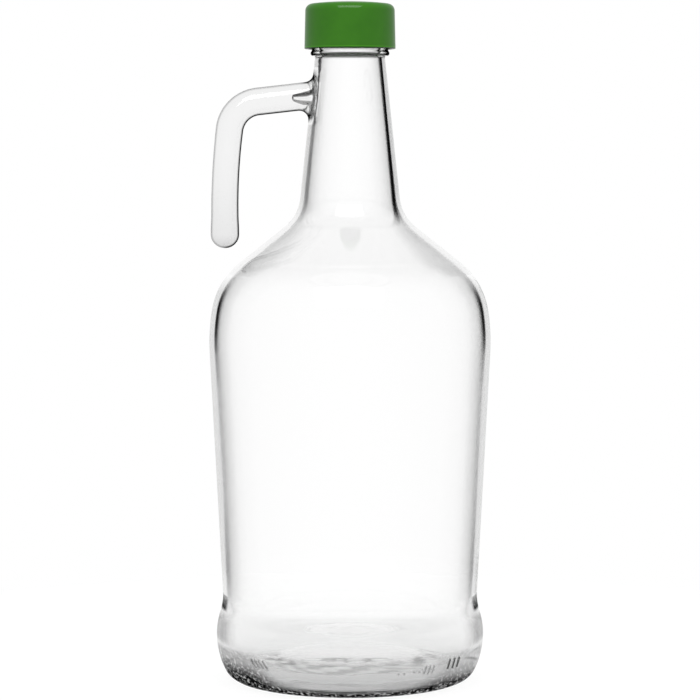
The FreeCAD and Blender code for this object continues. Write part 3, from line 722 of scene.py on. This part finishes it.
def add_hollow(net, loop):
    """The hollow that the blown neck leaves in the handle's root."""
    turns = even_turns(HOLLOW_RING)
    tip_x = HOLLOW_TIP - HOLLOW_DEPTH - BORE_RADIUS
    reach = (-BORE_RADIUS - tip_x, HOLLOW_MOUTH)
    # slope of the radius that meets the cone's wall square
    square = slope_of(reach) + math.degrees(math.acos(HOLLOW_TIP / math.hypot(*reach)))
    slope = math.radians(square - 90)
    neck_x = tip_x + HOLLOW_TIP * math.cos(math.radians(square))

    def wall(x):
        return HOLLOW_MOUTH + (x + BORE_RADIUS) * math.tan(slope)

    def ring_at(x, radius):
        x = np.broadcast_to(x, len(turns))
        return np.c_[x, radius * np.sin(turns), HOLLOW_HEIGHT + radius * np.cos(turns)]

    def wall_side(turn):
        away = np.array([0, math.sin(turn), math.cos(turn)])
        out = math.cos(slope) * away - math.sin(slope) * np.array([1, 0, 0])
        ball = np.interp(math.cos(turn), (-1, 0.6), HOLLOW_FILLETS[::-1])
        return (lambda x: np.array([x, 0, HOLLOW_HEIGHT]) + wall(x) * away), out, ball

    fillet, ends = rolled_fillet(turns, 7, wall_side, CAVITY.neck_top, low=-25.0, high=-8.0)
    tags = np.ones((HOLLOW_RING, 4))
    # how strong the painted dark line is: full at the hollow's top, weaker at its foot
    tags[:, 0] = 0.8 + 0.2 * np.cos(turns)
    tags[:, 1] = 0.0
    last = patch(net, loop, fillet, tags, HOLLOW)
    rings = []
    for share in np.linspace(0, 1, 9)[1:]:
        x = ends + (neck_x - ends) * share
        rings.append(ring_at(x, wall(x)))
    for turn in np.radians(np.linspace(square, 180, 7))[1:-1]:
        rings.append(ring_at(tip_x + HOLLOW_TIP * math.cos(turn), HOLLOW_TIP * math.sin(turn)))
    last = net.tube(last, rings, [tags] * len(rings), HOLLOW)
    net.close(last, (tip_x - HOLLOW_TIP, 0, HOLLOW_HEIGHT), (1.0, 0.0, 1.0, 1.0), HOLLOW)


def make_jug():
    net = Net()
    turns = even_turns(COLUMNS)
    rings, (root_window, hollow_window) = add_side(net, turns)
    add_base(net, rings[0], turns)
    add_handle(net, window_loop(rings, root_window))
    add_hollow(net, window_loop(rings, hollow_window))
    return net


def finish_mesh(name, net, materials):
    """An object from a net: one closed, smooth mesh with its normals outwards."""
    mesh = bpy.data.meshes.new(name)
    points = (np.array(net.points) * MM).tolist()
    mesh.from_pydata(points, [], [tuple(map(int, corners)) for corners in net.faces])
    for material in materials:
        mesh.materials.append(material)
    mesh.polygons.foreach_set("material_index", np.array(net.kinds, dtype=np.int32))
    names = ("edge_line", "edge_broad", "edge_soft", "unshaded")
    for tag, values in zip(names, np.array(net.tags, dtype=np.float32).T):
        mesh.attributes.new(tag, "FLOAT", "POINT").data.foreach_set("value", values)
    work = bmesh.new()
    work.from_mesh(mesh)
    open_edges = sum(1 for edge in work.edges if not edge.is_manifold)
    bmesh.ops.recalc_face_normals(work, faces=work.faces)
    volume = work.calc_volume(signed=True) / MM ** 3
    triangles = sum(len(face.verts) - 2 for face in work.faces)
    print(name, "triangles", triangles, "open edges", open_edges, "volume mm3", round(volume, 1))
    work.to_mesh(mesh)
    work.free()
    mesh.shade_smooth()
    thing = bpy.data.objects.new(name, mesh)
    bpy.context.scene.collection.objects.link(thing)
    return thing


# ---------------------------------------------------------------- materials
class Tree:
    """Short ways to add nodes to the tree of a material or a world."""

    def __init__(self, owner):
        owner.use_nodes = True
        self.nodes, self.links = owner.node_tree.nodes, owner.node_tree.links
        self.nodes.clear()

    def add(self, kind, inputs=None, **settings):
        """A node with its settings, and a value or another node's output for each input."""
        node = self.nodes.new("ShaderNode" + kind)
        for name, value in settings.items():
            setattr(node, name, value)
        for key, value in (inputs or {}).items():
            if isinstance(value, bpy.types.NodeSocket):
                self.links.new(value, node.inputs[key])
            else:
                node.inputs[key].default_value = value
        return node

    def maths(self, operation, *values):
        return self.add("Math", dict(enumerate(values)), operation=operation).outputs[0]

    def ramp(self, stops, place):
        """A colour ramp's output. Each stop is a place and a grey or a colour."""
        node = self.add("ValToRGB", {"Fac": place})
        elements = node.color_ramp.elements
        while len(elements) < len(stops):
            elements.new(0.5)
        for element, (where, value) in zip(elements, stops):
            element.position = where
            element.color = (*np.broadcast_to(value, 3), 1)
        return node.outputs["Color"]

    def noise(self, place, scale, **inputs):
        inputs = {"Vector": place, "Scale": scale, **inputs}
        return self.add("TexNoise", inputs).outputs["Fac"]

    def blend(self, share, first, second):
        """One shader, or by a share of it, another."""
        return self.add("MixShader", {0: share, 1: first, 2: second}).outputs[0]

    def background_share(self):
        """1 for a camera ray and for what gloss and glass show, which see the same white, and 0
        for the rays that light the object."""
        path = self.add("LightPath").outputs
        seen = self.maths("MAXIMUM", path["Is Camera Ray"], path["Is Glossy Ray"])
        return self.maths("MAXIMUM", seen, path["Is Transmission Ray"])


def glass_material(name, tints, shades, from_behind=False, with_painted_grey=True, grey=1.0, speckle=0.0,
                   frost=0.0):
    """Clear glass with shade painted where it is seen on edge, as strongly as the mesh's tags say: a
    painted grey in its colour and a painted black mixed over it. tints is how much light the painted
    grey lets pass, and shades how much of the sight the painted black takes, by how far the surface
    turns away: each as stops for the body and for the neck. from_behind: shades are only for rays
    that come from within the glass, and otherwise only for those from outside. with_painted_grey:
    the mesh's painted grey by place counts too. grey: the glass's colour, below 1 for a painted grey
    all over."""
    material = bpy.data.materials.new(name)
    tree = Tree(material)
    facing = tree.add("LayerWeight", {"Blend": 0.5}).outputs["Facing"]
    behind = tree.add("NewGeometry").outputs["Backfacing"]

    def tag(name_of):
        return tree.add("Attribute", attribute_name=name_of).outputs["Fac"]

    line, broad, soft = tag("edge_line"), tag("edge_broad"), tag("edge_soft")

    def by_turn(stops):
        """The stops' value for the body and the neck, blended."""
        low, high = (tree.ramp(some, facing) for some in stops)
        return tree.add("Mix", {"Factor": broad, "A": low, "B": high}).outputs["Result"]

    # the glass's colour: a painted grey by how far it turns away and by the mesh's tags
    colour = (grey, grey, grey, 1)
    if with_painted_grey:
        kept = tree.maths("MAXIMUM", tag("unshaded"), behind)
        if tints:
            painted_dimming = tree.maths("MULTIPLY", tree.maths("SUBTRACT", 1.0, by_turn(tints)), soft)
            kept = tree.maths("MULTIPLY", tree.maths("SUBTRACT", 1.0, painted_dimming), kept)
        colour = tree.add("Mix", {"Factor": tree.maths("MULTIPLY", kept, kept), "A": (0, 0, 0, 1),
                                  "B": colour}, data_type="RGBA").outputs["Result"]
    glass = tree.add("BsdfPrincipled", {
        "Base Color": colour, "IOR": 1.5, "Transmission Weight": 1.0,
        "Roughness": tree.maths("MULTIPLY", soft, frost) if frost else 0.0}).outputs[0]

    # a black surface mixed over the glass: painted shade for its dark lines
    side = behind if from_behind else tree.maths("SUBTRACT", 1.0, behind)
    painted_shade = tree.maths("MULTIPLY", tree.maths("MULTIPLY", by_turn(shades), line), side)
    # the painted black broken into patches
    if speckle:
        place = tree.add("TexCoord").outputs["Object"]
        grain = tree.noise(place, 700.0, Detail=4.0, Roughness=0.65)
        left = 1.0 - speckle
        patches = tree.ramp([(0.0, 1.0), (0.53, 1.0), (0.60, left), (1.0, left)], grain)
        painted_shade = tree.maths("MULTIPLY", painted_shade, patches)
    painted_black = tree.add("BsdfDiffuse", {"Color": (0.004, 0.004, 0.004, 1)}).outputs[0]
    clear = tree.add("BsdfTransparent", {"Color": (0.93, 0.95, 0.94, 1)}).outputs[0]
    shadow = tree.add("LightPath").outputs["Is Shadow Ray"]
    surface = tree.blend(shadow, tree.blend(painted_shade, glass, painted_black), clear)
    tree.add("OutputMaterial", {"Surface": surface})
    return material


def cap_material():
    material = bpy.data.materials.new("green_plastic")
    tree = Tree(material)
    place = tree.add("TexCoord").outputs["Object"]
    green = tree.ramp([(0.3, (0.021, 0.122, 0.001)), (0.7, (0.026, 0.139, 0.002))],
                      tree.noise(place, 120.0, Detail=3.0))
    # a painted highlight as a thin bright line, and painted shade as a dark rim, at the foot of the
    # skirt, by height in metres
    height = tree.add("SeparateXYZ", {0: place}).outputs["Z"]
    share = tree.add("MapRange", {"Value": height, "From Min": 0.2841, "From Max": 0.2861})
    rim = tree.ramp([(0.0, 0.5), (0.2, 0.6), (0.3, 1.55), (0.42, 1.5), (0.52, 1.0)],
                    share.outputs["Result"])
    painted_rim_green = tree.add("Mix", {"Factor": 1.0, "A": green, "B": rim},
                      data_type="RGBA", blend_type="MULTIPLY").outputs["Result"]
    bump = tree.add("Bump", {"Strength": 0.12, "Distance": 0.0001,
                             "Height": tree.noise(place, 2600.0)}).outputs["Normal"]
    plastic = tree.add("BsdfPrincipled", {
        "Base Color": painted_rim_green, "Roughness": 0.34, "IOR": 1.49, "Specular IOR Level": 0.0,
        "Coat Weight": 0.45, "Coat Roughness": 0.1, "Normal": bump})
    tree.add("OutputMaterial", {"Surface": plastic.outputs[0]})
    return material


# Stops of the painted grey and black by how far the surface turns away from the eye, from 0 square
# on to 1 on edge
NONE = [(0.0, 0.0), (1.0, 0.0)]
ALL = [(0.0, 1.0), (1.0, 1.0)]
BODY_TINT = [(0.0, 1.0), (0.6, 1.0), (0.72, 0.88), (0.8, 0.96), (1.0, 0.97)]
BODY_DIM = [
    (0.0, 0.0), (0.47, 0.0), (0.536, 0.06), (0.58, 0.10), (0.615, 0.14), (0.652, 0.20),
    (0.694, 0.24), (1.0, 0.24)]
BODY_BLACK = [
    (0.0, 0.0), (0.47, 0.0), (0.536, 0.06), (0.615, 0.14), (0.65, 0.25), (0.675, 0.6),
    (0.69, 0.96), (0.72, 0.96), (0.737, 0.5), (0.752, 0.24), (1.0, 0.24)]
OUTER_NECK_TINT = [(0.0, 1.0), (0.48, 1.0), (0.56, 0.5), (1.0, 0.5)]
OUTER_BODY_SHADE = [(0.0, 0.0), (0.69, 0.0), (0.76, 1.0), (1.0, 1.0)]
OUTER_NECK_SHADE = [
    (0.0, 0.0), (0.445, 0.0), (0.48, 0.85), (0.5, 1.0), (0.565, 1.0), (0.58, 0.0), (1.0, 0.0)]
INNER_BODY_TINT = [
    (0.0, 1.0), (0.3, 0.985), (0.45, 0.95), (0.52, 0.9), (0.575, 0.84), (0.65, 0.75),
    (0.69, 0.68), (0.74, 0.6), (0.78, 0.54), (0.82, 0.5), (1.0, 0.35)]
INNER_NECK_TINT = [
    (0.0, 1.0), (0.15, 0.97), (0.25, 0.93), (0.35, 0.85), (0.46, 0.75), (0.504, 0.7),
    (0.56, 0.6), (0.61, 0.5), (0.66, 0.3), (0.7, 0.2), (1.0, 0.1)]
# Past this turn, seen from within the glass, the cavity's face mirrors all light.
FULL_MIRROR = 0.2546
INNER_BODY_SHADE = [
    (0.0, 0.0), (0.228, 0.0), (0.236, 0.15), (0.2405, 0.6), (0.246, 0.97), (FULL_MIRROR, 1.0),
    (FULL_MIRROR + 0.001, 0.0), (1.0, 0.0)]
INNER_NECK_SHADE = [
    (0.0, 0.0), (0.205, 0.0), (0.218, 0.6), (0.225, 0.95), (0.264, 1.0), (0.266, 0.0), (1.0, 0.0)]
GRIP_TINT = [(0.0, 1.0), (0.4, 0.97), (0.6, 0.8), (1.0, 0.6)]
GRIP_SHADE = [(0.0, 0.0), (0.45, 0.0), (0.56, 0.6), (0.66, 1.0), (1.0, 1.0)]
HEEL_SHADE = [(0.0, 0.0), (0.3, 0.0), (0.39, 0.65), (0.47, 0.97), (0.55, 1.0), (1.0, 1.0)]
HOLLOW_SHADE = [(0.0, 0.0), (0.05, 0.0), (0.1, 0.85), (0.16, 1.0), (1.0, 1.0)]

# in the order of the kinds of face
glasses = [
    glass_material("glass_outside", [BODY_TINT, OUTER_NECK_TINT],
                   [OUTER_BODY_SHADE, OUTER_NECK_SHADE]),
    glass_material("glass_inside", [INNER_BODY_TINT, INNER_NECK_TINT],
                   [INNER_BODY_SHADE, INNER_NECK_SHADE], from_behind=True),
    glass_material("glass_handle", [GRIP_TINT, ALL], [GRIP_SHADE, NONE], grey=0.9),
    glass_material("glass_heel", None, [HEEL_SHADE, NONE], speckle=0.85, frost=0.1),
    glass_material("glass_hollow", None, [HOLLOW_SHADE, NONE], from_behind=True, with_painted_grey=False),
    glass_material("glass_body", [BODY_TINT, BODY_TINT], [BODY_DIM, BODY_BLACK]),
]

# ---------------------------------------------------------------- pieces
jug = finish_mesh("jug_glass", make_jug(), glasses)
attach(jug, "root")
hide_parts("jug")

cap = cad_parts["cap"]
cap.data.materials.clear()
cap.data.materials.append(cap_material())

# ---------------------------------------------------------------- stage, in metres
STAGE_RADIUS, STAGE_DROP = 0.32, 0.0004
STAGE_GREY, STAGE_GLOW = 0.16, 0.845     # what the stage throws back, and the white it adds
SOFT_LIGHT, WHITE = 0.74, 1.0            # the world as it lights the object, and as it is seen
SENSOR_WIDTH = 36.0                      # of the camera, in millimetres


def make_stage():
    """A pale round floor, a hair below the base so that the two don't flicker."""
    bpy.ops.mesh.primitive_circle_add(vertices=128, radius=STAGE_RADIUS, fill_type="NGON",
                                      location=(0, 0, -STAGE_DROP))
    floor = bpy.context.object
    floor.name = "floor"
    material = bpy.data.materials.new("floor")
    tree = Tree(material)
    grey = tree.add("BsdfDiffuse", {"Color": (STAGE_GREY, STAGE_GREY, STAGE_GREY, 1)})
    strength = tree.maths("MULTIPLY", tree.background_share(), STAGE_GLOW)
    glow = tree.add("Emission", {"Color": (1, 1, 1, 1), "Strength": strength})
    both = tree.add("AddShader", {0: grey.outputs[0], 1: glow.outputs[0]})
    tree.add("OutputMaterial", {"Surface": both.outputs[0]})
    floor.data.materials.append(material)
    return floor


def make_world():
    """A soft white tent for light, and plain white where it is seen."""
    world = bpy.data.worlds.new("studio")
    tree = Tree(world)
    soft, white = (tree.add("Background", {"Color": (1, 1, 1, 1), "Strength": strength})
                   for strength in (SOFT_LIGHT, WHITE))
    seen = tree.blend(tree.background_share(), soft.outputs[0], white.outputs[0])
    tree.add("OutputWorld", {"Surface": seen})
    return world


def add_lamp(name, place, target, size, power):
    """A rectangle of light that isn't seen through the glass."""
    light = bpy.data.lights.new(name, "AREA")
    light.shape = "RECTANGLE"
    light.size, light.size_y = size
    light.energy = power
    thing = bpy.data.objects.new(name, light)
    thing.location = place
    aim = Vector(target) - Vector(place)
    thing.rotation_euler = aim.to_track_quat("-Z", "Y").to_euler()
    thing.visible_transmission = False
    bpy.context.scene.collection.objects.link(thing)


def add_camera(distance, height, tilt_down, lens):
    """The photo's camera, in front of the jug. lens is its focal length in millimetres."""
    camera = bpy.data.cameras.new("camera")
    camera.sensor_width = SENSOR_WIDTH
    camera.lens = lens
    thing = bpy.data.objects.new("camera", camera)
    thing.location = (0.0, -distance, height)
    thing.rotation_euler = (math.radians(90 - tilt_down), 0, 0)
    bpy.context.scene.collection.objects.link(thing)
    return thing


scene = bpy.context.scene
make_stage()
scene.world = make_world()
add_lamp("softbox_top", place=(-0.02, -0.85, 1.05), target=(0, 0, 0.28), size=(1.1, 0.7), power=12.0)
scene.camera = add_camera(distance=1.300, height=0.239, tilt_down=3.956, lens=148.73143)
scene.view_settings.view_transform = "Standard"

# light has to pass many walls of glass
GLASS_BOUNCES = 256
scene.cycles.max_bounces = GLASS_BOUNCES
scene.cycles.transmission_bounces = GLASS_BOUNCES
scene.cycles.glossy_bounces = GLASS_BOUNCES
scene.cycles.transparent_max_bounces = 16
scene.cycles.sample_clamp_indirect = 4.0
